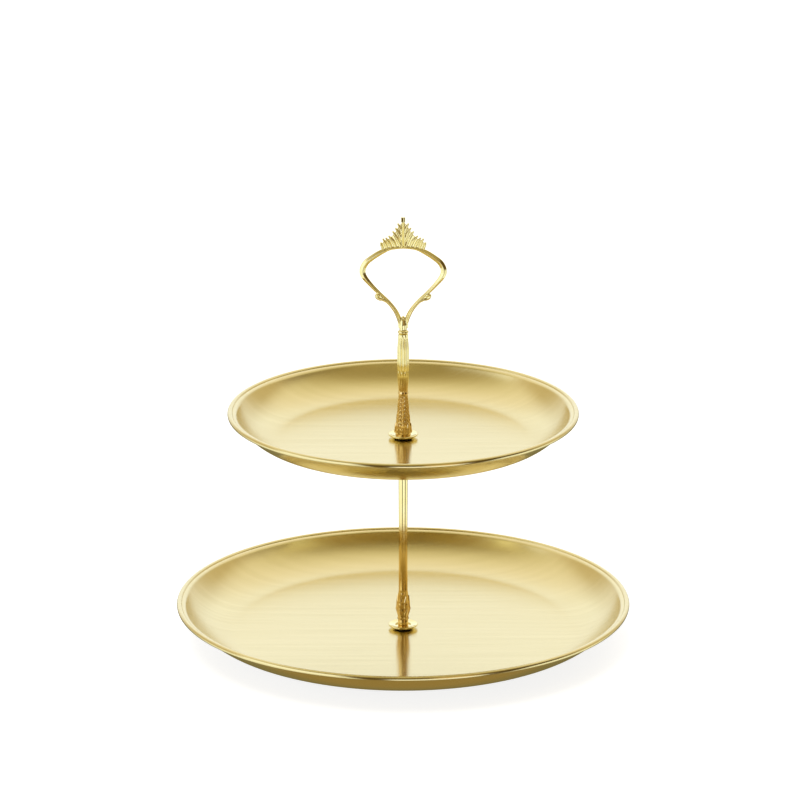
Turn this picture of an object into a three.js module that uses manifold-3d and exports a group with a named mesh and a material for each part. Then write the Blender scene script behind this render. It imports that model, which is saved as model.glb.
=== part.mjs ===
// Two-tier cake stand: two pressed steel plates on a screwed post with a crown-shaped carrying handle.
// Millimetres, +Z up. The origin is on the table, under the middle of the stand. The crown faces -Y.
import * as THREE from "three";
import { mergeVertices } from "three/addons/utils/BufferGeometryUtils.js";
import Module from "manifold-3d";

const wasm = await Module();
wasm.setup();

// ---------- driving dimensions ----------
const STAND_HEIGHT = 250; // table to the tip of the crown
const FOOT_HEIGHT = 3.8; // the pads keep the base screw's head off the table
const SHEET = 0.8; // plate steel
const FLARE = 4.5; // radius of the outward bend under the edge, at the middle of the sheet
const ROLLED_EDGE = 1.5; // outside radius of a plate's rolled edge
const LOWER_PLATE = { radius: 130, floor: 96, bottom: FOOT_HEIGHT, rim: 22 };
const UPPER_PLATE = { radius: 100, floor: 70, bottom: 118.8, rim: 136.1 };
const PLATE_HOLE = 2.6;
const M4 = 2; // thread radii
const M3 = 1.5;
const THREAD_GAP = 0.15; // radial, between a screw and its hole
const SEAT_GAP = 0.05; // between two pieces stacked on each other
const GASKET = { radius: 5, thickness: 0.5 };
const CUP = { radius: 8.4, height: 2, foot: 6.6, seat: 4.1, recess: 0.7, web: 0.8, lip: 0.5 };
const ENGAGED = 10; // M4 thread held in the rod and in the column
const CROWN_ENGAGED = 5.5; // M3 thread held in the crown and in the column
const BLIND = 1; // room left past the end of a screw
const SCREW_HEAD = { radius: 4, height: 1.9, recess: 1.1, slot: 0.9 };
const BASE_WASHER = { radius: 6, thickness: 0.8 };
const PAD = { radius: 6, tread: 4.6, chamfer: 1.2, circle: 84, count: 4 };
const COLUMN_TOP = 181.2;
const LEAF_THICKNESS = 3; // front to back
const BAR = 1.45; // radius of the crown's main bar
const STRAND = 1; // radius of the thin outer strand that ends in a scroll
const SIDES = { plate: 48, turned: 24, small: 16, bar: 8 }; // facets round each kind of piece

// ---------- heights that follow from them ----------
const CLAMP = GASKET.thickness + CUP.web + 3 * SEAT_GAP; // plate face to the piece seated in the cup
const ROD_BOTTOM = LOWER_PLATE.bottom + SHEET + CLAMP;
const ROD_TOP = UPPER_PLATE.bottom - CLAMP;
const COLUMN_BOTTOM = UPPER_PLATE.bottom + SHEET + CLAMP;
const CROWN_BOTTOM = COLUMN_TOP + SEAT_GAP;

// ---------- materials ----------
const metal = (color, roughness) => new THREE.MeshStandardMaterial({ color, roughness, metalness: 1 });
const satinGold = metal(0xe3cf94, 0.34);
const polishedGold = metal(0xe8c766, 0.14);
const platedSteel = metal(0xc9c6bd, 0.3);
const clearGasket = new THREE.MeshStandardMaterial({ color: 0xe9e6da, roughness: 0.5 });
const padRubber = new THREE.MeshStandardMaterial({ color: 0xd8d6cf, roughness: 0.7 });

// ---------- helpers ----------
const stand = new THREE.Group();

function add(name, geometry, material, x = 0, y = 0, z = 0) {
  const mesh = new THREE.Mesh(geometry, material);
  mesh.name = name;
  mesh.position.set(x, y, z);
  stand.add(mesh);
}

// A solid of revolution about Z from an outline of [radius, height] points, upwards on the outside.
function turned(outline, segments = SIDES.turned) {
  const points = outline.map(([r, z]) => new THREE.Vector2(r, z));
  return new THREE.LatheGeometry(points, segments).rotateX(Math.PI / 2);
}

// The points at these angles, in degrees, on a circle in the radius-height plane.
function onCircle([r, z], radius, angles) {
  return angles.map((degrees) => {
    const a = THREE.MathUtils.degToRad(degrees);
    return [r + radius * Math.cos(a), z + radius * Math.sin(a)];
  });
}

// Evenly spaced values from one to the other, both included.
function evenly(from, to, steps) {
  return Array.from({ length: steps + 1 }, (_, i) => from + ((to - from) * i) / steps);
}

function solid(geometry) {
  const bare = geometry.clone();
  bare.deleteAttribute("normal");
  bare.deleteAttribute("uv");
  const merged = mergeVertices(bare, 1e-4);
  const index = merged.index.array;
  return new wasm.Manifold(
    new wasm.Mesh({
      numProp: 3,
      vertProperties: merged.attributes.position.array,
      triVerts: new Uint32Array(index),
    }),
  );
}

function geometryOf(manifold) {
  const mesh = manifold.getMesh();
  return new THREE.BufferGeometry()
    .setAttribute("position", new THREE.BufferAttribute(mesh.vertProperties, 3))
    .setIndex(new THREE.BufferAttribute(mesh.triVerts, 1));
}

// ---------- pressed plates ----------
// One face of the sheet: from the hole over the flat floor, up the curved wall, outwards over the flare to
// the edge, which is rolled down and under. offset is the distance from the middle of the sheet.
function plateFace({ radius, floor, bottom, rim }, offset) {
  const edge = radius - ROLLED_EDGE;
  const middle = bottom + SHEET / 2;
  const flareCentre = [edge, rim - SHEET / 2 - FLARE];
  const wall = wallAngle(flareCentre, floor, middle);
  const angle = THREE.MathUtils.degToRad(wall);
  const bend = (edge - FLARE * Math.sin(angle) - floor) / Math.sin(angle);
  return [
    [PLATE_HOLE, middle + offset],
    ...onCircle([floor, middle + bend], bend - offset, evenly(-90, wall - 90, 5)),
    ...onCircle(flareCentre, FLARE + offset, evenly(90 + wall, 90, 3)),
    ...onCircle([edge, rim - ROLLED_EDGE], ROLLED_EDGE - SHEET / 2 + offset, [45, 0, -45, -90, -130]),
  ];
}

// The wall's slope, in degrees, where one bend from the floor meets the flare.
function wallAngle([flareRadius, flareHeight], floor, middle) {
  let angle = 1;
  for (let i = 0; i < 20; i += 1) {
    const run = flareRadius - FLARE * Math.sin(angle) - floor;
    const rise = flareHeight + FLARE * Math.cos(angle) - middle;
    angle = 2 * Math.atan2(rise, run);
  }
  return THREE.MathUtils.radToDeg(angle);
}

function plate(spec) {
  const underside = plateFace(spec, -SHEET / 2);
  const inside = plateFace(spec, SHEET / 2).reverse();
  return turned([...underside, ...inside, underside[0]], SIDES.plate);
}

// ---------- washers, gaskets and pads ----------
function ring(inner, outer, height) {
  return turned([[inner, 0], [outer, 0], [outer, height], [inner, height], [inner, 0]]);
}

// A saucer with a broad flat back at z = 0, a sunk seat in the middle, a shallow cone and a rounded lip.
function cupWasher() {
  const hole = M4 + THREAD_GAP;
  const lip = [CUP.radius - CUP.lip, CUP.height - CUP.lip];
  return turned([
    [hole, 0],
    [CUP.foot, 0],
    ...onCircle(lip, CUP.lip, [-40, 0, 45, 90, 120]),
    [CUP.seat, CUP.web + CUP.recess],
    [CUP.seat, CUP.web],
    [hole, CUP.web],
    [hole, 0],
  ]);
}

function footPad() {
  return turned([
    [0, 0],
    [PAD.tread, 0],
    [PAD.radius, PAD.chamfer],
    [PAD.radius, FOOT_HEIGHT - SEAT_GAP],
    [0, FOOT_HEIGHT - SEAT_GAP],
  ], SIDES.small);
}

// ---------- post ----------
function connectingRod() {
  const bore = M4 + THREAD_GAP;
  const depth = ENGAGED + BLIND;
  return turned([
    [0, ROD_BOTTOM + depth],
    [bore, ROD_BOTTOM + depth],
    [bore, ROD_BOTTOM],
    [3, ROD_BOTTOM],
    [3, 8.2],
    [2.9, 10],
    [3.7, 12.8],
    [4.2, 16.5],
    [3.95, 20],
    [3.2, 24.5],
    [2.6, 28],
    [2.5, 60],
    [2.65, 96],
    [3.4, 104],
    [4, ROD_TOP - 8],
    [3.4, ROD_TOP - 4],
    [4.1, ROD_TOP - 1.7],
    [4.1, ROD_TOP],
    [bore, ROD_TOP],
    [bore, ROD_TOP - depth],
    [0, ROD_TOP - depth],
  ]);
}

// The fluted upper length and the trumpet-shaped lower length are one casting, waisted at a small ring.
function handleColumn() {
  const bore = M4 + THREAD_GAP;
  const crownBore = M3 + THREAD_GAP;
  return turned([
    [0, COLUMN_BOTTOM + ENGAGED + BLIND],
    [bore, COLUMN_BOTTOM + ENGAGED + BLIND],
    [bore, COLUMN_BOTTOM],
    [4.1, COLUMN_BOTTOM],
    [4.1, 122.3],
    [4.85, 123],
    [4.6, 125.5],
    [3.95, 130.5],
    [3.2, 137.8],
    [2.6, 145.2],
    [2.9, 146.2],
    [2.65, 147.2],
    [3.35, 157.5],
    [3.45, 161.6],
    [3.35, 171],
    [2.8, COLUMN_TOP],
    [crownBore, COLUMN_TOP],
    [crownBore, COLUMN_TOP - CROWN_ENGAGED - BLIND],
    [0, COLUMN_TOP - CROWN_ENGAGED - BLIND],
  ]);
}

function stud(radius, from, to) {
  return turned([[0, from], [radius, from], [radius, to], [0, to]], SIDES.small);
}

// A low pan head with a cross recess, and a shank up into the rod.
function baseScrew() {
  const seat = LOWER_PLATE.bottom - GASKET.thickness - BASE_WASHER.thickness - 3 * SEAT_GAP;
  const headBottom = seat - SCREW_HEAD.height;
  const blank = turned([
    [0, headBottom],
    [SCREW_HEAD.radius - 0.9, headBottom],
    [SCREW_HEAD.radius, headBottom + 0.8],
    [SCREW_HEAD.radius, seat],
    [M4, seat],
    [M4, ROD_BOTTOM + ENGAGED],
    [0, ROD_BOTTOM + ENGAGED],
  ], SIDES.small);
  let screw = solid(blank);
  for (const turn of [0, Math.PI / 2]) {
    const slot = new THREE.BoxGeometry(4, SCREW_HEAD.slot, 2 * SCREW_HEAD.recess);
    slot.rotateZ(turn).translate(0, 0, headBottom);
    screw = screw.subtract(solid(slot));
  }
  return geometryOf(screw);
}

// ---------- crown ----------
// A round bar along a path in the XZ plane, given by its [x, z] points; side -1 mirrors it.
function bar(points, radius, side, steps) {
  const path = new THREE.CatmullRomCurve3(points.map(([x, z]) => new THREE.Vector3(side * x, 0, z)));
  const section = new THREE.Shape().absarc(0, 0, radius, 0, 2 * Math.PI);
  const settings = { steps, curveSegments: SIDES.bar, bevelEnabled: false, extrudePath: path };
  return solid(new THREE.ExtrudeGeometry(section, settings));
}

// From the neck, along the inner edge of the fork, round the side of the loop and into the leaf.
const LOOP = [
  [1, 186], [2.4, 191.8], [4.7, 196], [8.6, 200.7], [13.7, 205.5], [18.7, 210.8],
  [22.2, 215.4], [22.9, 219.1], [21.2, 223], [17.7, 226.1], [12.6, 229.3], [9, 232],
];
// The outer strand leaves the neck beside it and ends in a scroll under the loop.
const SCROLL = [[1.9, 185.3], [2.9, 190], [5.1, 195.4], [8.7, 199.9], [12, 202], [13.6, 203]];
const SCROLL_TIP = { x: 13.9, z: 203.7, radius: 1.8 };

// The leaf: a stepped fan of pointed lobes around a square tip, [x, z] down its right-hand side.
const LEAF = [
  [1.3, STAND_HEIGHT], [1.3, 247.8], [3.2, 246.6], [3.3, 244.9], [4.6, 244], [4.7, 242.7],
  [6.2, 242], [6.5, 240.1], [8.6, 239.2], [8.9, 237.9], [11.6, 237.9], [12.8, 236], [12.8, 230.8],
  [6, 231.8],
];

function leaf() {
  const right = LEAF.map(([x, z]) => new THREE.Vector2(x, z));
  const left = LEAF.map(([x, z]) => new THREE.Vector2(-x, z)).reverse();
  const outline = new THREE.Shape([...right, new THREE.Vector2(0, 232.2), ...left]);
  const slab = new THREE.ExtrudeGeometry(outline, { depth: LEAF_THICKNESS, bevelEnabled: false });
  return solid(slab.translate(0, 0, -LEAF_THICKNESS / 2).rotateX(Math.PI / 2));
}

function crownHandle() {
  const neck = turned([
    [0, CROWN_BOTTOM],
    [2.6, CROWN_BOTTOM],
    [3, 182.3],
    [2.9, 183.4],
    [2.3, 184.4],
    [2.3, 187],
    [2.1, 190.2],
    [0, 190.6],
  ]);
  let crown = solid(neck).add(leaf());
  for (const side of [-1, 1]) {
    crown = crown.add(bar(LOOP, BAR, side, 26));
    crown = crown.add(bar(SCROLL, STRAND, side, 10));
    const tip = new THREE.SphereGeometry(SCROLL_TIP.radius, 8, 6);
    crown = crown.add(solid(tip.translate(side * SCROLL_TIP.x, 0, SCROLL_TIP.z)));
  }
  const bore = stud(M3 + THREAD_GAP, CROWN_BOTTOM - 1, CROWN_BOTTOM + CROWN_ENGAGED + 0.3);
  return geometryOf(crown.subtract(solid(bore)));
}

// ---------- assembly, from the table up ----------
for (let i = 0; i < PAD.count; i += 1) {
  const a = ((i + 0.5) * 2 * Math.PI) / PAD.count;
  add(`foot_pad_${i + 1}`, footPad(), padRubber, PAD.circle * Math.cos(a), PAD.circle * Math.sin(a));
}

// A gasket and a cup washer on one face of a plate; up is 1 above the plate and -1 below it.
function clamp(tier, place, face, up) {
  const flip = up > 0 ? 0 : Math.PI;
  const gasket = ring(M4 + THREAD_GAP, GASKET.radius, GASKET.thickness).rotateX(flip);
  const cup = cupWasher().rotateX(flip);
  add(`${tier}_gasket_${place}`, gasket, clearGasket, 0, 0, face + up * SEAT_GAP);
  add(`${tier}_cup_washer_${place}`, cup, polishedGold, 0, 0, face + up * (GASKET.thickness + 2 * SEAT_GAP));
}

add("base_screw", baseScrew(), platedSteel);
const baseGasketTop = LOWER_PLATE.bottom - SEAT_GAP;
const baseWasherTop = baseGasketTop - GASKET.thickness - SEAT_GAP;
const washer = ring(M4 + THREAD_GAP, BASE_WASHER.radius, BASE_WASHER.thickness);
add("base_washer", washer, platedSteel, 0, 0, baseWasherTop - BASE_WASHER.thickness);
const baseGasket = ring(M4 + THREAD_GAP, GASKET.radius, GASKET.thickness);
add("lower_gasket_below", baseGasket, clearGasket, 0, 0, baseGasketTop - GASKET.thickness);
add("lower_plate", plate(LOWER_PLATE), satinGold);
clamp("lower", "above", LOWER_PLATE.bottom + SHEET, 1);
add("connecting_rod", connectingRod(), polishedGold);
clamp("upper", "below", UPPER_PLATE.bottom, -1);
add("upper_plate", plate(UPPER_PLATE), satinGold);
clamp("upper", "above", UPPER_PLATE.bottom + SHEET, 1);
add("joining_stud", stud(M4, ROD_TOP - ENGAGED, COLUMN_BOTTOM + ENGAGED), platedSteel);
add("handle_column", handleColumn(), polishedGold);
const studBottom = COLUMN_TOP - CROWN_ENGAGED;
add("crown_stud", stud(M3, studBottom, CROWN_BOTTOM + CROWN_ENGAGED), platedSteel);
add("crown_handle", crownHandle(), polishedGold);

export default stand;
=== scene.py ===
"""Looks for the two-tier cake stand: fine meshes, gold finishes, a pale floor and soft studio light."""

import math

import bmesh
import bpy
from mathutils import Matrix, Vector


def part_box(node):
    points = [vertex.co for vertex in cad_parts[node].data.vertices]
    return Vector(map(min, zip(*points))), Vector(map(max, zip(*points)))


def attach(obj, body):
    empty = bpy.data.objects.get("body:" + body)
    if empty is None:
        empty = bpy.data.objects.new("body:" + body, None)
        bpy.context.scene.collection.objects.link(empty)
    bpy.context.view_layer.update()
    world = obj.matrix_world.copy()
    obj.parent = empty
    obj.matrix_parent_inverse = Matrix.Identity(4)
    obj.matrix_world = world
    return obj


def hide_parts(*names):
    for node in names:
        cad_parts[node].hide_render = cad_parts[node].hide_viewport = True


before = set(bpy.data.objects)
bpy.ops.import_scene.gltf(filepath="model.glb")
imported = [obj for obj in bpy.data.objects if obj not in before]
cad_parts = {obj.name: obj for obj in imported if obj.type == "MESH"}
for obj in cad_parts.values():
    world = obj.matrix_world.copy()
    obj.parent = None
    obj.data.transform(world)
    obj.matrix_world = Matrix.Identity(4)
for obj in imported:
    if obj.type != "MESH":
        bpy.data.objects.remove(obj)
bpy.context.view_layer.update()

MM = 0.001
SHEET = 0.8  # plate steel, mm
FLARE = 2.6  # radius of the outward bend under the edge, at the middle of the sheet, mm
ROLLED_EDGE = 1.5  # outside radius of a plate's rolled edge, mm
BEAD_RISE = 0.95  # height of the rolled edge above the flat of the flare, mm
BEAD_RUN = 1.4  # from the end of the flare to the middle of the roll, mm
LOWER_FLOOR = 96  # radius of the lower plate's flat floor
UPPER_FLOOR = 70  # and of the upper plate's
PLATE_HOLE = 2.6  # radius
M4 = 2  # thread radii
M3 = 1.5
M4_BORE = 2.15
M3_BORE = 1.65
POST_BORE_DEPTH = 11  # at both ends of the rod and at the column's foot
CROWN_BORE_DEPTH = 6.5  # at the column's top
THREAD_PITCH = 0.7
THREAD_DEPTH = 0.3
SCREW_HEAD = 1.9  # height of the base screw's head
BROKEN_EDGE = 0.12  # on washers and gaskets
CAST_SEGMENTS = 240  # round the rod and the column
BAR_SIDES = 20  # round each bar of the crown
CUP_LIP = 0.5  # radius of a cup washer's lip, mm
CUP_FOOT = 6.6  # radius of its flat back
CUP_SEAT = 4.4  # radius of its sunk seat, clear of the column or rod in it
CUP_WEB = 0.8  # thickness under the seat
CUP_STEP = 1.5  # height of the step round the seat
CUP_STEP_EDGE = 0.25  # radius of that step's rounded corner
PAD_EDGE = 1.3  # radius of a foot pad's rounded lower edge


# ---------- sizes read from the frame, in mm ----------
def low(node):
    """The node's lowest height."""
    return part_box(node)[0][2] / MM


def high(node):
    """The node's highest height."""
    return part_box(node)[1][2] / MM


def reach(node):
    """The node's largest X, which is a round part's radius."""
    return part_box(node)[1][0] / MM


# ---------- camera ----------
def aim_camera():
    """A long lens, a little above the stand, as it stands with its crown to the camera."""
    aim = Vector((-0.0018, 0, 0.142))
    elevation = math.radians(17.51)
    distance = 3.3
    data = bpy.data.cameras.new("camera")
    data.lens = 261.1
    data.sensor_width = 36
    camera = bpy.data.objects.new("camera", data)
    bpy.context.collection.objects.link(camera)
    camera.location = aim + distance * Vector((0, -math.cos(elevation), math.sin(elevation)))
    camera.rotation_euler = (aim - camera.location).to_track_quat("-Z", "Y").to_euler()
    bpy.context.scene.camera = camera


# ---------- materials ----------
class Recipe:
    """A node material, with short calls for adding and joining nodes."""

    def __init__(self, name, color, metallic, roughness):
        self.material = bpy.data.materials.new(name)
        self.material.use_nodes = True
        self.tree = self.material.node_tree
        self.shader = self.tree.nodes["Principled BSDF"]
        self.set("Base Color", (*color, 1))
        self.set("Metallic", metallic)
        self.set("Roughness", roughness)

    def set(self, socket, value):
        self.shader.inputs[socket].default_value = value

    def node(self, kind, **values):
        node = self.tree.nodes.new(kind)
        for name, value in values.items():
            setattr(node, name, value)
        return node

    def join(self, output, target):
        self.tree.links.new(output, target)

    def noise(self, scale, detail, stretch=(1, 1, 1)):
        """Grain in the piece's own metres; scale is in grains per metre before stretching."""
        place = self.node("ShaderNodeTexCoord")
        mapping = self.node("ShaderNodeMapping")
        mapping.inputs["Scale"].default_value = stretch
        noise = self.node("ShaderNodeTexNoise")
        noise.inputs["Scale"].default_value = scale
        noise.inputs["Detail"].default_value = detail
        self.join(place.outputs["Object"], mapping.inputs["Vector"])
        self.join(mapping.outputs["Vector"], noise.inputs["Vector"])
        return noise.outputs["Fac"]

    def spread(self, value, lowest, highest):
        """The value, from 0.3 to 0.7 where noise mostly lies, spread over lowest to highest."""
        span = self.node("ShaderNodeMapRange")
        span.inputs["From Min"].default_value = 0.3
        span.inputs["From Max"].default_value = 0.7
        span.inputs["To Min"].default_value = lowest
        span.inputs["To Max"].default_value = highest
        self.join(value, span.inputs["Value"])
        return span.outputs["Result"]

    def above(self, start, end):
        """0 below the start height and 1 above the end, both in mm above the table at rest."""
        place = self.node("ShaderNodeTexCoord")
        split = self.node("ShaderNodeSeparateXYZ")
        span = self.node("ShaderNodeMapRange", interpolation_type="SMOOTHSTEP")
        span.inputs["From Min"].default_value = start * MM
        span.inputs["From Max"].default_value = end * MM
        self.join(place.outputs["Object"], split.inputs["Vector"])
        self.join(split.outputs["Z"], span.inputs["Value"])
        return span.outputs["Result"]

    def tint(self, value, dark, light):
        """Sets the base colour, from dark to light by the value, and gives it back."""
        mix = self.node("ShaderNodeMix", data_type="RGBA")
        mix.inputs[6].default_value = (*dark, 1)
        mix.inputs[7].default_value = (*light, 1)
        self.join(self.spread(value, 0, 1), mix.inputs["Factor"])
        self.join(mix.outputs[2], self.shader.inputs["Base Color"])
        return mix.outputs[2]

    def painted_reflection_tint(self, color, foot, start, end):
        """Sets the base colour, from the foot's colour below start to the given one above end; the foot's
        browner colour is a painted reflection of the gold plates.
        """
        mix = self.node("ShaderNodeMix", data_type="RGBA")
        mix.inputs[6].default_value = (*foot, 1)
        self.join(color, mix.inputs[7])
        self.join(self.above(start, end), mix.inputs["Factor"])
        self.join(mix.outputs[2], self.shader.inputs["Base Color"])

    def bump(self, value, height):
        bump = self.node("ShaderNodeBump")
        bump.inputs["Distance"].default_value = height
        bump.inputs["Strength"].default_value = 1
        self.join(value, bump.inputs["Height"])
        self.join(bump.outputs["Normal"], self.shader.inputs["Normal"])


def brushed_gold():
    """Gold-coloured steel brushed in straight lines along X, so that reflections run out along Y."""
    recipe = Recipe("brushed_gold", (0.84, 0.74, 0.43), 1, 0.3)
    lines = recipe.noise(1, 4, stretch=(14, 1500, 0))
    recipe.join(recipe.spread(lines, 0.16, 0.22), recipe.shader.inputs["Roughness"])
    recipe.tint(recipe.noise(1, 2, stretch=(6, 260, 0)), (0.83, 0.73, 0.42), (0.86, 0.76, 0.45))
    recipe.bump(lines, 0.000002)
    recipe.set("Anisotropic", 0.85)
    tangent = recipe.node("ShaderNodeTangent", direction_type="UV_MAP")
    recipe.join(tangent.outputs["Tangent"], recipe.shader.inputs["Tangent"])
    return recipe.material


def polished_gold(name, foot=None):
    """Plated casting with the faint waves of a polished mould face. If foot gives two heights in mm, the
    foot gets a painted reflection of the gold plates, a browner colour that fades out between them."""
    recipe = Recipe(name, (0.95, 0.86, 0.48), 1, 0.1)
    waves = recipe.noise(420, 3)
    recipe.join(recipe.spread(waves, 0.07, 0.13), recipe.shader.inputs["Roughness"])
    color = recipe.tint(recipe.noise(160, 2), (0.94, 0.84, 0.44), (0.96, 0.88, 0.52))
    if foot:
        # painted reflection: the casting's foot is browned as if it reflected the gold plates
        recipe.painted_reflection_tint(color, (0.91, 0.7, 0.35), *foot)
    recipe.bump(waves, 0.000006)
    return recipe.material


def plated_steel():
    recipe = Recipe("plated_steel", (0.56, 0.55, 0.52), 1, 0.28)
    grain = recipe.noise(900, 4)
    recipe.join(recipe.spread(grain, 0.22, 0.36), recipe.shader.inputs["Roughness"])
    recipe.bump(grain, 0.00001)
    return recipe.material


def silicone(name, dark, light):
    """A milky rubber with a fine matt moulding grain."""
    recipe = Recipe(name, light, 0, 0.5)
    grain = recipe.noise(1600, 4)
    recipe.join(recipe.spread(grain, 0.42, 0.6), recipe.shader.inputs["Roughness"])
    recipe.tint(recipe.noise(240, 2), dark, light)
    recipe.bump(grain, 0.00002)
    return recipe.material


# ---------- mesh helpers ----------
def finish_mesh(name, mesh, material, sharp=35):
    """A smooth-shaded object with its edges kept crisp where faces meet at more than sharp degrees."""
    mesh.polygons.foreach_set("use_smooth", [True] * len(mesh.polygons))
    mesh.set_sharp_from_angle(angle=math.radians(sharp))
    mesh.materials.append(material)
    piece = bpy.data.objects.new(name, mesh)
    bpy.context.collection.objects.link(piece)
    return piece


def revolve(name, rows, material, segments=128, centre=(0, 0), sharp=35):
    """A body of revolution from rows of (radius, height) in mm; a radius may be a function of the turn."""
    shape = bmesh.new()
    rings = []
    for radius, height in rows:
        if radius == 0:
            rings.append([shape.verts.new((centre[0] * MM, centre[1] * MM, height * MM))])
            continue
        ring = []
        for i in range(segments):
            turn = 2 * math.pi * i / segments
            r = radius(turn) if callable(radius) else radius
            x = (centre[0] + r * math.cos(turn)) * MM
            y = (centre[1] + r * math.sin(turn)) * MM
            ring.append(shape.verts.new((x, y, height * MM)))
        rings.append(ring)
    closed = rows[0][0] != 0
    pairs = list(zip(rings, rings[1:]))
    if closed:
        pairs.append((rings[-1], rings[0]))
    for lower, upper in pairs:
        for i in range(segments):
            j = (i + 1) % segments
            corners = [lower[i % len(lower)], lower[j % len(lower)]]
            corners += [upper[j % len(upper)], upper[i % len(upper)]]
            unique = list(dict.fromkeys(corners))
            if len(unique) > 2:
                shape.faces.new(unique)
    bmesh.ops.recalc_face_normals(shape, faces=shape.faces)
    mesh = bpy.data.meshes.new(name)
    shape.to_mesh(mesh)
    shape.free()
    return finish_mesh(name, mesh, material, sharp)


def arc(centre, radius, start, end, steps):
    """Points on a circle in the radius-height plane, angles in degrees."""
    points = []
    for i in range(steps + 1):
        a = math.radians(start + (end - start) * i / steps)
        points.append((centre[0] + radius * math.cos(a), centre[1] + radius * math.sin(a)))
    return points


def through(knots, value):
    """A smooth value between (position, value) knots, without overshoot."""
    for (x0, y0), (x1, y1) in zip(knots, knots[1:]):
        if value <= x1:
            t = max(0.0, (value - x0) / (x1 - x0))
            return y0 + (y1 - y0) * t * t * (3 - 2 * t)
    return knots[-1][1]


def spline(a, b, c, d, t):
    """The Catmull-Rom value a share t of the way from b to c, with a before them and d after."""
    square = 2 * a - 5 * b + 4 * c - d
    cube = 3 * b - a - 3 * c + d
    return 0.5 * (2 * b + (c - a) * t + square * t * t + cube * t**3)


def curve_points(points, count):
    """Evenly counted points on a Catmull-Rom curve through the given ones, of any dimension."""
    ends = [points[0]] + list(points) + [points[-1]]
    spans = len(points) - 1
    result = []
    for i in range(count + 1):
        place = spans * i / count
        k = min(int(place), spans - 1)
        t = place - k
        p0, p1, p2, p3 = ends[k : k + 4]
        result.append(tuple(spline(a, b, c, d, t) for a, b, c, d in zip(p0, p1, p2, p3)))
    return result


def ramp(value, start, end):
    """0 before start and 1 after end, smoothly."""
    t = min(1.0, max(0.0, (value - start) / (end - start)))
    return t * t * (3 - 2 * t)


# ---------- plates ----------
def plate_face(radius, floor, middle, rim, offset):
    """One face of the sheet, from the hole to the end of the rolled edge, offset from its middle."""
    edge = radius - ROLLED_EDGE
    flare = (edge - BEAD_RUN, rim - SHEET / 2 - FLARE - BEAD_RISE)
    angle = 1.0
    for _ in range(20):
        run = flare[0] - FLARE * math.sin(angle) - floor
        rise = flare[1] + FLARE * math.cos(angle) - middle
        angle = 2 * math.atan2(rise, run)
    bend = (flare[0] - FLARE * math.sin(angle) - floor) / math.sin(angle)
    wall = math.degrees(angle)
    points = [(PLATE_HOLE + (floor - PLATE_HOLE) * i / 6, middle + offset) for i in range(6)]
    points += arc((floor, middle + bend), bend - offset, -90, wall - 90, 36)
    points += arc(flare, FLARE + offset, 90 + wall, 90, 14)[1:]
    roll = arc((edge, rim - ROLLED_EDGE), ROLLED_EDGE - SHEET / 2 + offset, 145, -130, 30)
    return points + roll


def plate(node, floor, material):
    """A pressed dish whose edge is rolled outwards."""
    middle = low(node) + SHEET / 2
    under = plate_face(reach(node), floor, middle, high(node), -SHEET / 2)
    inside = plate_face(reach(node), floor, middle, high(node), SHEET / 2)
    piece = revolve("dish_" + node, under + inside[::-1], material, 256)
    brush = piece.data.uv_layers.new(name="brush")
    for loop in piece.data.loops:
        x, y, _ = piece.data.vertices[loop.vertex_index].co
        brush.data[loop.index].uv = (0.5 + y, 0.5 - x)  # U runs across the brushing
    return piece


# ---------- washers, gaskets, pads and screws ----------
def cup_washer(node, up, material):
    """A turned saucer with a sunk seat and a rounded lip; up is 1 if the lip is on top, or else -1."""
    base = low(node) if up > 0 else high(node)
    lip_height = high(node) - low(node) - CUP_LIP
    edge = BROKEN_EDGE
    corner = CUP_STEP_EDGE
    rows = [(M4_BORE, edge), (M4_BORE + edge, 0), (CUP_FOOT - 0.1, 0), (CUP_FOOT + 0.05, 0.06)]
    rows += arc((reach(node) - CUP_LIP, lip_height), CUP_LIP, -40, 118, 18)
    rows += arc((CUP_SEAT + corner, CUP_STEP - corner), corner, 82, 180, 6)
    rows += [(CUP_SEAT, CUP_WEB + edge), (CUP_SEAT - edge, CUP_WEB)]
    rows += [(M4_BORE + edge, CUP_WEB), (M4_BORE, CUP_WEB - edge)]
    return revolve("turned_" + node, [(r, base + up * z) for r, z in rows], material, 128)


def flat_ring(node, hole, material):
    """A washer or gasket with its edges broken."""
    bottom, top, radius = low(node), high(node), reach(node)
    edge = BROKEN_EDGE
    rows = [
        (hole, bottom + edge),
        (hole + edge, bottom),
        (radius - edge, bottom),
        (radius, bottom + edge),
        (radius, top - edge),
        (radius - edge, top),
        (hole + edge, top),
        (hole, top - edge),
    ]
    return revolve("fine_" + node, rows, material, 96)


def foot_pad(node, material):
    """A round moulded pad with a flat tread."""
    (x0, y0, _), (x1, y1, _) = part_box(node)
    centre = ((x0 + x1) / 2 / MM, (y0 + y1) / 2 / MM)
    radius = (x1 - x0) / 2 / MM
    rows = [(0, 0), (radius - 1.7, 0)]
    rows += arc((radius - PAD_EDGE, PAD_EDGE), PAD_EDGE, -80, 0, 8)
    rows += [(radius, high(node) - 0.2), (radius - 0.2, high(node)), (0, high(node))]
    return revolve("moulded_" + node, rows, material, 64, centre)


def threaded(name, radius, bottom, top, material, head_rows=()):
    """A shank with a raised thread in rings of one pitch, which starts from the head's rows if any."""
    rows = list(head_rows) or [(0, bottom), (radius - THREAD_DEPTH, bottom)]
    height = rows[-1][1] + THREAD_PITCH / 2
    while height < top - THREAD_PITCH:
        rows.append((radius - THREAD_DEPTH, height))
        rows.append((radius, height + 0.3 * THREAD_PITCH))
        rows.append((radius, height + 0.42 * THREAD_PITCH))
        rows.append((radius - THREAD_DEPTH, height + 0.72 * THREAD_PITCH))
        height += THREAD_PITCH
    rows += [(radius - THREAD_DEPTH, top), (0, top)]
    return revolve(name, rows, material, 48)


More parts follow.
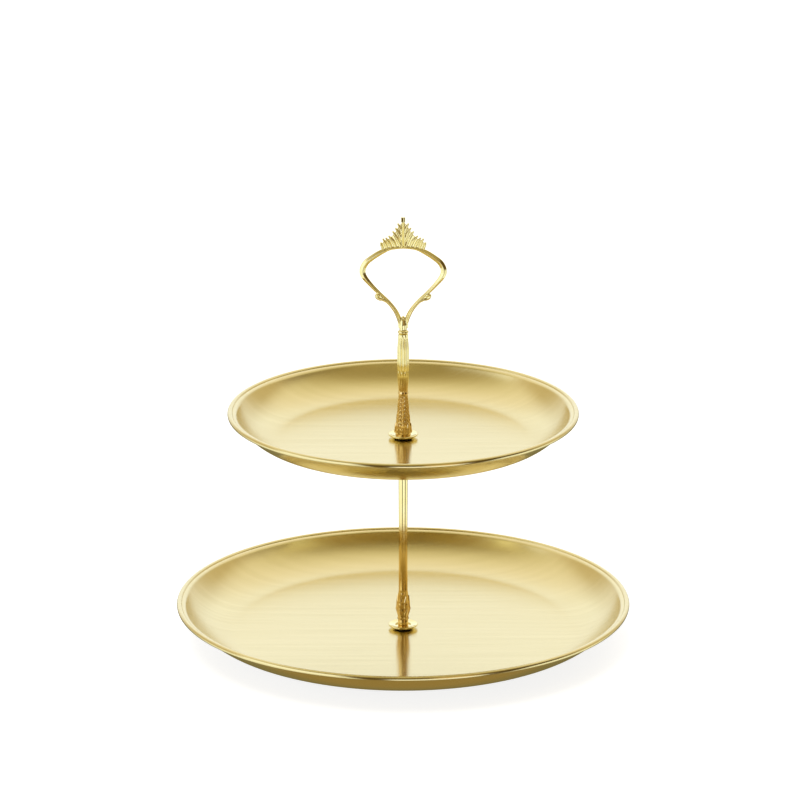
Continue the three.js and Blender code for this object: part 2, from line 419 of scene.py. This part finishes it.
def base_screw(material):
    """A pan head with a cross recess, and the shank that goes up into the rod."""
    bottom, top = low("base_screw"), high("base_screw")
    rows = [(0, bottom), (2.6, bottom + 0.02)]
    rows += arc((3.1, bottom + 0.9), 0.9, -80, 0, 8)
    rows += [(4, bottom + SCREW_HEAD), (M4, bottom + SCREW_HEAD)]
    screw = threaded("turned_base_screw", M4, bottom, top, material, rows)
    for turn in (0, math.pi / 2):
        cut_slot(screw, turn, bottom)
    return screw


def cut_slot(piece, turn, bottom):
    """Sinks one of the two slots of a tapered cross recess into the head's face."""
    half_length = 1.9
    half_width = 0.42
    depth = 1.1
    shape = bmesh.new()
    corners = []
    for height, grow in ((bottom - 0.5, 1), (bottom + depth, 0.45)):
        for x, y in ((-1, -1), (1, -1), (1, 1), (-1, 1)):
            px = x * half_length * grow
            py = y * half_width
            rx = px * math.cos(turn) - py * math.sin(turn)
            ry = px * math.sin(turn) + py * math.cos(turn)
            corners.append(shape.verts.new((rx * MM, ry * MM, height * MM)))
    bmesh.ops.convex_hull(shape, input=corners)
    mesh = bpy.data.meshes.new("slot_cutter")
    shape.to_mesh(mesh)
    shape.free()
    cutter = bpy.data.objects.new("slot_cutter", mesh)
    bpy.context.collection.objects.link(cutter)
    cut = piece.modifiers.new("slot", "BOOLEAN")
    cut.operation = "DIFFERENCE"
    cut.object = cutter
    cut.solver = "EXACT"
    apply_modifiers(piece)
    bpy.data.objects.remove(cutter)


def apply_modifiers(piece):
    """Puts what the modifiers make into the mesh itself."""
    graph = bpy.context.evaluated_depsgraph_get()
    graph.update()
    old = piece.data
    piece.data = bpy.data.meshes.new_from_object(piece.evaluated_get(graph))
    piece.modifiers.clear()
    bpy.data.meshes.remove(old)


# ---------- post ----------
def heights(start, end, step):
    count = max(1, round((end - start) / step))
    return [start + (end - start) * i / count for i in range(count + 1)]


def petals(turn, count, sharpness=1.0):
    """1 on a petal's spine and 0 in the cleft between two petals."""
    return abs(math.cos(count * turn / 2)) ** sharpness


def side_of(turn, count):
    """How far the turn is from the nearest of count spines, from 0 on it to 1 midway."""
    place = turn / (2 * math.pi) * count
    return 2 * abs(place - round(place))


def drops(height, turn, bottom, top, count):
    """A ring of tear-shaped bosses, round at the bottom and pointed at the top, from 0 to 1."""
    up = (height - bottom) / (top - bottom)
    if up <= 0 or up >= 1:
        return 0.0
    half = 0.92 * math.sqrt(up * 4) * (1 - up) ** 0.9
    off = side_of(turn, count) / half
    return max(0.0, 1 - off * off) ** 0.6


def feather(height, turn, count, pitch):
    """Leaves side by side with a raised spine and side veins that climb outwards, from 0 to 1."""
    off = side_of(turn, count)
    veins = 0.5 + 0.5 * math.cos(2 * math.pi * (height - 2.6 * off) / pitch)
    spine = max(0.0, 1 - off / 0.22) ** 0.5
    cleft = ramp(off, 1.0, 0.84)
    return cleft * max(spine, 0.75 * veins)


def rod_radius(height, turn):
    """The rod's skin: two rings of drops on the vase foot, a plain shaft and a plain top knop."""
    profile = through(ROD_PROFILE, height)
    relief = 0.5 * drops(height, turn, 16.2, 24.5, 6)
    relief += 0.45 * drops(height, turn, 10.2, 16.6, 6)
    vase = ramp(height, 10.2, 12) * (1 - ramp(height, 22, 26))
    return profile - 0.5 * vase + relief


ROD_PROFILE = (
    (5, 3), (8.2, 3), (10, 2.9), (16.5, 4.2), (20, 3.95), (28, 2.62), (60, 2.5), (96, 2.65),
    (104, 3.4), (109.3, 4), (113.3, 3.3), (115.6, 4.1), (118, 4.1),
)


def relief_body(name, bottom, top, step, skin, bores, material):
    """A casting with a carved skin between bottom and top, drilled from both ends by (radius, depth)."""
    (low_bore, low_depth), (high_bore, high_depth) = bores
    rows = [(0, bottom + low_depth), (low_bore, bottom + low_depth), (low_bore, bottom)]
    for height in heights(bottom, top, step):
        rows.append((lambda turn, h=height: skin(h, turn), height))
    rows += [(high_bore, top), (high_bore, top - high_depth), (0, top - high_depth)]
    return revolve(name, rows, material, CAST_SEGMENTS, sharp=50)


COLUMN_PROFILE = (
    (120.5, 4.1), (122.2, 4.1), (123, 4.85), (125.5, 4.6), (130.5, 3.95), (137.8, 3.2), (145.2, 2.6),
    (146.2, 2.95), (147.2, 2.65), (157.5, 3.35), (161.6, 3.45), (171, 3.35), (180.4, 2.8), (182, 2.8),
)


def column_radius(height, turn):
    """The column's skin: petal skirt, feathered trumpet, fine lines and pointed flutes."""
    profile = through(COLUMN_PROFILE, height)
    skirt = ramp(height, 122.2, 122.9) * (1 - ramp(height, 128, 129))
    petal = 0.7 * drops(height, turn, 120.4, 129.5, 8) - 0.4
    trumpet = ramp(height, 127.5, 129.5) * (1 - ramp(height, 144.4, 145.2))
    leaf = 0.55 * feather(height, turn + math.pi / 2, 5, 2.3) - 0.35
    lines_zone = ramp(height, 147, 148) * (1 - ramp(height, 157, 159))
    lines = -0.4 * (1 - petals(turn, 14, 0.45))
    point = petals(turn + math.pi / 2, 10)
    flute_zone = ramp(height, 158.4, 159.6 + point)
    flute_zone *= 1 - ramp(height, 177.5 + 2 * point, 178.7 + 2.2 * point)
    flutes = 0.1 - 0.7 * (1 - petals(turn + math.pi / 2, 10, 0.4))
    result = profile + skirt * petal + trumpet * leaf
    return result + lines_zone * lines + flute_zone * flutes


# ---------- crown ----------
LOOP = (
    (1.0, 185.5), (1.3, 188), (2.4, 191.8), (4.7, 196), (8.6, 200.7), (13.7, 205.5), (18.7, 210.8),
    (22.2, 215.4), (22.9, 219.1), (21.2, 223), (17.7, 226.1), (12.6, 229.4), (7.2, 231.7), (0, 232.4),
)
LOOP_WIDTHS = (0.9, 0.85, 0.85, 0.9, 0.95, 1.1, 1.3, 1.65, 1.75, 1.7, 1.6, 1.5, 1.1, 0.9)
SCROLL = ((1.8, 184.8), (2.2, 188), (3.3, 191.4), (5.3, 195.5), (8.6, 199.7), (11.6, 201.6), (13.4, 202))
SCROLL_CURL = ((11.6, 201.6), (13.4, 202), (14.7, 202.9), (14.9, 204.0), (14.0, 204.5), (13.3, 203.7))
LEAFLETS = (
    ((0.9, 240.2), (1.7, 243.4), (3.1, 246.4)),
    ((0.9, 236.4), (2.4, 240.3), (4.4, 243.8)),
    ((1.6, 232.9), (3.4, 237.4), (5.95, 241.8)),
    ((4.2, 232.8), (5.7, 236.2), (8.3, 239.1)),
    ((6.8, 232.5), (8.0, 235.2), (9.9, 238)),
    ((9.2, 232.1), (10.1, 234.8), (11.5, 237.5)),
    ((11.5, 231.6), (12.2, 233.4), (12.6, 235.3)),
)


def sweep(shape, path, widths, depths, ridge=0.0, steps=60):
    """Adds a closed bar along a path in the XZ plane; widths are across it and depths front to back."""
    centres = curve_points(path, steps)
    wide = curve_points([(w,) for w in widths], steps)
    deep = curve_points([(d,) for d in depths], steps)
    rings = []
    for i, (x, z) in enumerate(centres):
        ahead = centres[min(i + 1, steps)]
        behind = centres[max(i - 1, 0)]
        along = Vector((ahead[0] - behind[0], ahead[1] - behind[1])).normalized()
        ring = []
        for k in range(BAR_SIDES):
            a = 2 * math.pi * k / BAR_SIDES
            u = math.cos(a)
            v = math.sin(a) * (1 - ridge + ridge * max(0.0, 1 - 1.8 * abs(u)) ** 0.6)
            across = u * wide[i][0]
            place = (x - along[1] * across, v * deep[i][0], z + along[0] * across)
            ring.append(shape.verts.new([c * MM for c in place]))
        rings.append(ring)
    for first, second in zip(rings, rings[1:]):
        for k in range(BAR_SIDES):
            j = (k + 1) % BAR_SIDES
            shape.faces.new((first[k], first[j], second[j], second[k]))
    shape.faces.new(rings[0][::-1])
    shape.faces.new(rings[-1])


def mirrored(path, side):
    return [(side * x, z) for x, z in path]


def slab(shape, outline, half_depth):
    """Adds a flat plate of the outline in the XZ plane."""
    front = [shape.verts.new((x * MM, -half_depth * MM, z * MM)) for x, z in outline]
    back = [shape.verts.new((x * MM, half_depth * MM, z * MM)) for x, z in outline]
    shape.faces.new(front)
    shape.faces.new(back[::-1])
    for i in range(len(outline)):
        j = (i + 1) % len(outline)
        shape.faces.new((front[i], back[i], back[j], front[j]))


def crown_blank():
    """The crown's bars, scrolls and leaf as overlapping bodies, before they are cast into one."""
    shape = bmesh.new()
    loop_depths = [1.25] * 5 + [1.35, 1.45, 1.5, 1.5, 1.5, 1.5, 1.45, 1.3, 1.2]
    for side in (-1, 1):
        sweep(shape, mirrored(LOOP, side), LOOP_WIDTHS, loop_depths, ridge=0.4, steps=120)
        sweep(shape, mirrored(SCROLL, side), (0.85, 0.8, 0.75, 0.75, 0.8, 0.9, 0.9), (1.2,) * 7, ridge=0.3)
        curl_widths = (0.75, 0.95, 1.0, 1.0, 0.95, 0.8)
        sweep(shape, mirrored(SCROLL_CURL, side), curl_widths, (1.2, 1.4, 1.6, 1.7, 1.7, 1.6))
        sweep(shape, mirrored(((11.2, 202.6), (13.9, 203.6)), side), (1.1, 1.1), (0.75, 0.75), steps=8)
        for leaflet in LEAFLETS:
            sweep(shape, mirrored(leaflet, side), (0.7, 0.78, 0.5), (1.2, 1.5, 1.2), steps=30)
        vein = mirrored(((0.62, 232.6), (0.7, 239), (0.4, 247.2)), side)
        sweep(shape, vein, (0.5, 0.55, 0.4), (1.6, 1.6, 1.2), steps=30)
        fork = mirrored(((0.45, 186), (0.95, 189.2), (0.1, 191.9)), side)
        sweep(shape, fork, (0.4, 0.35, 0.35), (1.25, 1.25, 1.1), steps=24)
    tip = [(-1.2, -0.9), (0.35, -1.15), (1.2, -0.7), (1.2, 0.7), (-0.35, 1.15), (-1.2, 0.9)]
    corners = [shape.verts.new((x * MM, y * MM, z * MM)) for z in (247.2, 249.9) for x, y in tip]
    bmesh.ops.convex_hull(shape, input=corners)
    web = [(0, 247.5), (2.5, 244.8), (3.7, 242.2), (5.2, 240.3), (7.4, 237.7), (10.6, 236.2), (12, 234.6)]
    web += [(12, 230.6), (6, 231.6)]
    slab(shape, [(0, 232.2)] + mirrored(web, -1)[:0:-1] + web, 0.6)
    slab(shape, ((-1.6, 184), (1.6, 184), (1.9, 188.5), (1.1, 191.2), (-1.1, 191.2), (-1.9, 188.5)), 0.55)
    return shape


def neck_rows(bottom):
    """The crown's stem below the fork: a bead on the column's top and a short waist."""
    rows = [(0, bottom), (2.5, bottom)]
    rows += arc((2.1, bottom + 1.3), 0.95, -68, 72, 12)
    return rows + [(2.05, bottom + 2.7), (2.1, bottom + 5.4), (1.6, bottom + 8.2), (0, bottom + 8.8)]


def crown(material):
    """Casts the bars, leaf and stem into one skin, softened as a polished casting is."""
    bottom = low("crown_handle")
    shape = crown_blank()
    bmesh.ops.recalc_face_normals(shape, faces=shape.faces)
    mesh = bpy.data.meshes.new("cast_crown_handle")
    shape.to_mesh(mesh)
    shape.free()
    piece = finish_mesh("cast_crown_handle", mesh, material)
    neck = revolve("neck", neck_rows(bottom), material, 64)
    joined = bmesh.new()
    joined.from_mesh(piece.data)
    joined.from_mesh(neck.data)
    joined.to_mesh(piece.data)
    joined.free()
    bpy.data.objects.remove(neck)
    cast = piece.modifiers.new("cast", "REMESH")
    cast.mode = "VOXEL"
    cast.voxel_size = 0.15 * MM
    polish = piece.modifiers.new("polish", "SMOOTH")
    polish.factor = 0.5
    polish.iterations = 5
    apply_modifiers(piece)
    piece.data.polygons.foreach_set("use_smooth", [True] * len(piece.data.polygons))
    return piece


# ---------- assembly ----------
def place(piece, node, body, slot):
    """The piece stands for the CAD node, whose part it hides, and moves with its body; slot is not used."""
    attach(piece, body)
    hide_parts(node)


def build_stand():
    satin = brushed_gold()
    gold = polished_gold("polished_gold")
    # The rod's and column's feet get a painted reflection of the gold plates, fading out between these
    # heights in mm.
    rod_gold_painted_reflection = polished_gold("polished_gold_rod_painted_reflection", (45, 85))
    column_gold_painted_reflection = polished_gold("polished_gold_column_painted_reflection", (146, 160))
    steel = plated_steel()
    clear = silicone("clear_gasket", (0.66, 0.65, 0.6), (0.78, 0.77, 0.72))
    pad = silicone("pad_silicone", (0.6, 0.59, 0.56), (0.7, 0.69, 0.66))

    place(plate("lower_plate", LOWER_FLOOR, satin), "lower_plate", "base", "satin_gold_steel")
    place(plate("upper_plate", UPPER_FLOOR, satin), "upper_plate", "upper_tray", "satin_gold_steel")
    for node, up in (
        ("lower_cup_washer_above", 1),
        ("upper_cup_washer_above", 1),
        ("upper_cup_washer_below", -1),
    ):
        place(cup_washer(node, up, gold), node, "post", "polished_gold")
    for node, body in (
        ("lower_gasket_above", "base"),
        ("lower_gasket_below", "base"),
        ("upper_gasket_above", "upper_tray"),
        ("upper_gasket_below", "upper_tray"),
    ):
        place(flat_ring(node, M4_BORE, clear), node, body, "clear_gasket")
    place(flat_ring("base_washer", M4_BORE, steel), "base_washer", "post", "plated_steel")
    for i in range(4):
        node = f"foot_pad_{i + 1}"
        place(foot_pad(node, pad), node, "base", "pad_silicone")
    place(base_screw(steel), "base_screw", "post", "plated_steel")
    for node, radius, body in (("joining_stud", M4, "post"), ("crown_stud", M3, "handle")):
        stud = threaded("threaded_" + node, radius, low(node), high(node), steel)
        place(stud, node, body, "plated_steel")

    bottom, top = low("connecting_rod"), high("connecting_rod")
    post_bore = (M4_BORE, POST_BORE_DEPTH)
    bores = (post_bore, post_bore)
    rod = relief_body("cast_connecting_rod", bottom, top, 0.35, rod_radius, bores, rod_gold_painted_reflection)
    place(rod, "connecting_rod", "post", "polished_gold")
    bottom, top = low("handle_column"), high("handle_column")
    bores = (post_bore, (M3_BORE, CROWN_BORE_DEPTH))
    column = relief_body("cast_handle_column", bottom, top, 0.2, column_radius, bores, column_gold_painted_reflection)
    place(column, "handle_column", "handle", "polished_gold")
    place(crown(gold), "crown_handle", "handle", "polished_gold")


# ---------- studio ----------
class Sky:
    """The studio as the metal sees it: a colour for each direction, made of plain node steps."""

    def __init__(self):
        world = bpy.data.worlds.new("studio")
        bpy.context.scene.world = world
        world.use_nodes = True
        self.nodes = world.node_tree.nodes
        self.links = world.node_tree.links
        direction = self.nodes.new("ShaderNodeTexCoord")
        split = self.nodes.new("ShaderNodeSeparateXYZ")
        self.links.new(direction.outputs["Generated"], split.inputs["Vector"])
        self.x, self.y, self.z = split.outputs

    def span(self, value, start, end):
        """0 at start, 1 at end and smooth between them."""
        step = self.nodes.new("ShaderNodeMapRange")
        step.interpolation_type = "SMOOTHSTEP"
        step.inputs["From Min"].default_value = start
        step.inputs["From Max"].default_value = end
        self.links.new(value, step.inputs["Value"])
        return step.outputs["Result"]

    def math(self, operation, first, second):
        step = self.nodes.new("ShaderNodeMath")
        step.operation = operation
        for socket, value in zip(step.inputs, (first, second)):
            if isinstance(value, (int, float)):
                socket.default_value = value
            else:
                self.links.new(value, socket)
        return step.outputs["Value"]

    def mix(self, share, first, second):
        step = self.nodes.new("ShaderNodeMix")
        step.data_type = "RGBA"
        self.links.new(share, step.inputs["Factor"])
        for socket, value in zip(step.inputs[6:8], (first, second)):
            if isinstance(value, tuple):
                socket.default_value = (*value, 1)
            else:
                self.links.new(value, socket)
        return step.outputs[2]

    def ramp(self, value, stops):
        step = self.nodes.new("ShaderNodeValToRGB")
        self.links.new(value, step.inputs["Fac"])
        elements = step.color_ramp.elements
        elements[0].position, elements[1].position = 0, 1
        elements[0].color = (*stops[0][1], 1)
        elements[1].color = (*stops[-1][1], 1)
        for position, color in stops[1:-1]:
            elements.new(position).color = (*color, 1)
        return step.outputs["Color"]


UNDER = (0.34, 0.24, 0.08)
WHITE, LEMON, CREAM = (1.12, 1.16, 1.2), (1.08, 1.1, 0.95), (1.2, 1.22, 1.15)
OLIVE, DARK, BROWN = (0.22, 0.19, 0.08), (0.12, 0.08, 0.02), (0.1, 0.06, 0.015)
AMBER, SAND = (0.66, 0.54, 0.3), (0.72, 0.5, 0.22)
# What stands round the stand: a bearing in degrees, 0 on the camera's side and 90 to its right,
# and a colour.
GROUND_ROUND = (
    (-180, OLIVE), (-145, OLIVE), (-115, LEMON), (-28, LEMON), (-21, DARK), (-11, DARK), (-4, CREAM),
    (40, CREAM), (47, DARK), (60, DARK), (70, LEMON), (115, LEMON), (145, OLIVE), (180, OLIVE),
)
WALLS_ROUND = (
    (-180, WHITE), (-160, WHITE), (-130, AMBER), (-92, AMBER), (-84, CREAM), (-34, CREAM), (-26, BROWN),
    (12, BROWN), (18, SAND), (32, SAND), (42, BROWN), (80, BROWN), (105, AMBER), (130, AMBER), (160, WHITE),
    (180, WHITE),
)
# The ceiling by direction, as a share of the way from the camera's side to the back.
CEILING = (
    (0, (0.36, 0.28, 0.11)), (0.27, (0.38, 0.3, 0.12)), (0.36, (0.43, 0.34, 0.15)),
    (0.44, (0.57, 0.48, 0.24)), (0.58, (0.84, 0.75, 0.5)), (0.72, (0.98, 0.9, 0.7)),
    (0.88, (1.05, 1.0, 0.9)), (1, WHITE),
)


def studio_sky():
    """Pale ground with two dark cards, walls in broad strips, and a ceiling that dims towards the camera."""
    sky = Sky()
    bearing = sky.math("ARCTAN2", sky.x, sky.math("MULTIPLY", sky.y, -1.0))
    turn = sky.math("ADD", sky.math("MULTIPLY", bearing, 0.5 / math.pi), 0.5)
    back = sky.math("ADD", sky.math("MULTIPLY", sky.y, 0.5), 0.5)
    ground = sky.ramp(turn, [(0.5 + degrees / 360, color) for degrees, color in GROUND_ROUND])
    walls = sky.ramp(turn, [(0.5 + degrees / 360, color) for degrees, color in WALLS_ROUND])
    color = sky.mix(sky.span(sky.z, -0.9, -0.65), UNDER, ground)
    color = sky.mix(sky.span(sky.z, -0.24, -0.04), color, walls)
    color = sky.mix(sky.span(sky.z, 0.4, 0.7), color, sky.ramp(back, CEILING))
    sky.links.new(color, sky.nodes["Background"].inputs["Color"])


def studio():
    """A pale floor without a visible edge, the sky and one large soft light."""
    recipe = Recipe("pale_floor", (0.4, 0.4, 0.4), 0, 0.7)
    recipe.tint(recipe.noise(3, 3), (0.39, 0.39, 0.39), (0.41, 0.41, 0.41))
    recipe.set("Emission Color", (1, 1, 1, 1))
    recipe.set("Emission Strength", 0.86)
    shape = bmesh.new()
    bmesh.ops.create_circle(shape, cap_ends=True, segments=96, radius=12)
    mesh = bpy.data.meshes.new("floor")
    shape.to_mesh(mesh)
    shape.free()
    mesh.materials.append(recipe.material)
    floor = bpy.data.objects.new("floor", mesh)
    floor.visible_glossy = False
    bpy.context.collection.objects.link(floor)
    studio_sky()

    data = bpy.data.lights.new("overhead", "AREA")
    data.shape = "DISK"
    data.size = 1.8
    data.energy = 30
    light = bpy.data.objects.new("overhead", data)
    light.location = (-0.5, -0.3, 2.4)
    light.rotation_euler = (-light.location).to_track_quat("-Z", "Y").to_euler()
    light.visible_glossy = False
    bpy.context.collection.objects.link(light)
    bpy.context.scene.cycles.caustics_reflective = False
    bpy.context.scene.view_settings.view_transform = "Standard"


aim_camera()
build_stand()
studio()
